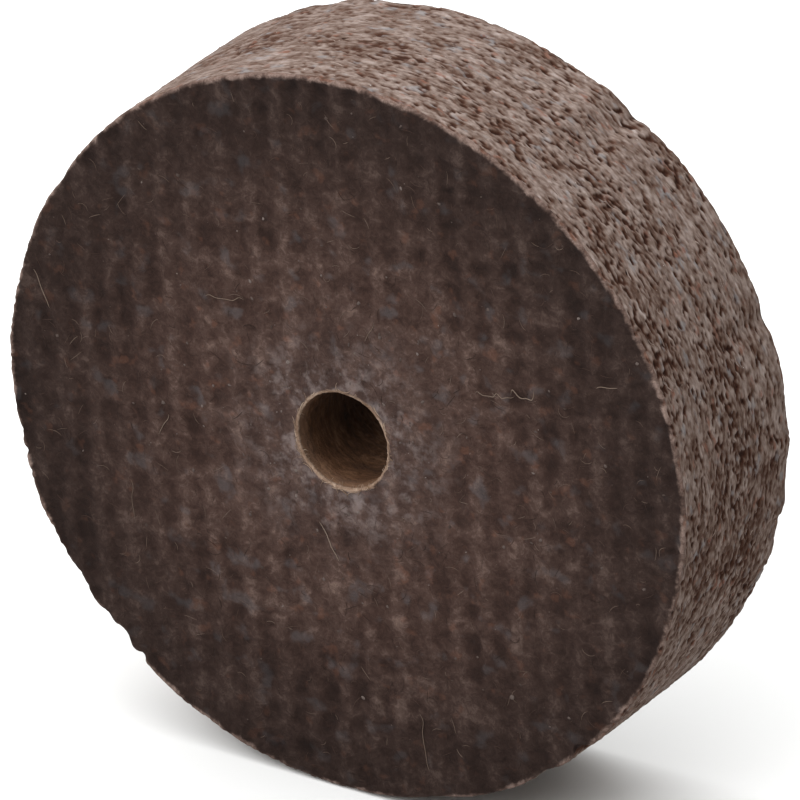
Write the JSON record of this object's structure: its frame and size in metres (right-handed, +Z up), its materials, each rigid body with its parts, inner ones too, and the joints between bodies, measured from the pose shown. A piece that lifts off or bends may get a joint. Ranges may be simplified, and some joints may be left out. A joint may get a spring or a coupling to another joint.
{
  "type": "laminated non-woven polishing wheel",
  "caption": "Flat disc polishing wheel of bonded fibre web plies pressed between two dark textured face skins, with a plain arbor hole.",
  "frame": {"origin": "centre of the wheel, on the axis of the arbor hole, half way through its thickness", "axes": "+Y along the arbor hole, from the front face to the rear face; +Z up with the wheel standing on its rim; the wheel turns about Y"},
  "size_m": [0.075, 0.02, 0.075],
  "materials": {
    "face_skin": "dark brown resin-rich pressed fibre with a waffle imprint, matt, dusted pale round the hole",
    "fibre_web": "taupe bonded fibre web with open red-brown pores, matt"
  },
  "bodies": {
    "root": {"front_face_skin": "face_skin", "web_ply_01": "fibre_web", "web_ply_02": "fibre_web", "web_ply_03": "fibre_web", "web_ply_04": "fibre_web", "web_ply_05": "fibre_web", "web_ply_06": "fibre_web", "web_ply_07": "fibre_web", "web_ply_08": "fibre_web", "web_ply_09": "fibre_web", "web_ply_10": "fibre_web", "web_ply_11": "fibre_web", "web_ply_12": "fibre_web", "rear_face_skin": "face_skin"}
  },
  "joints": []
}
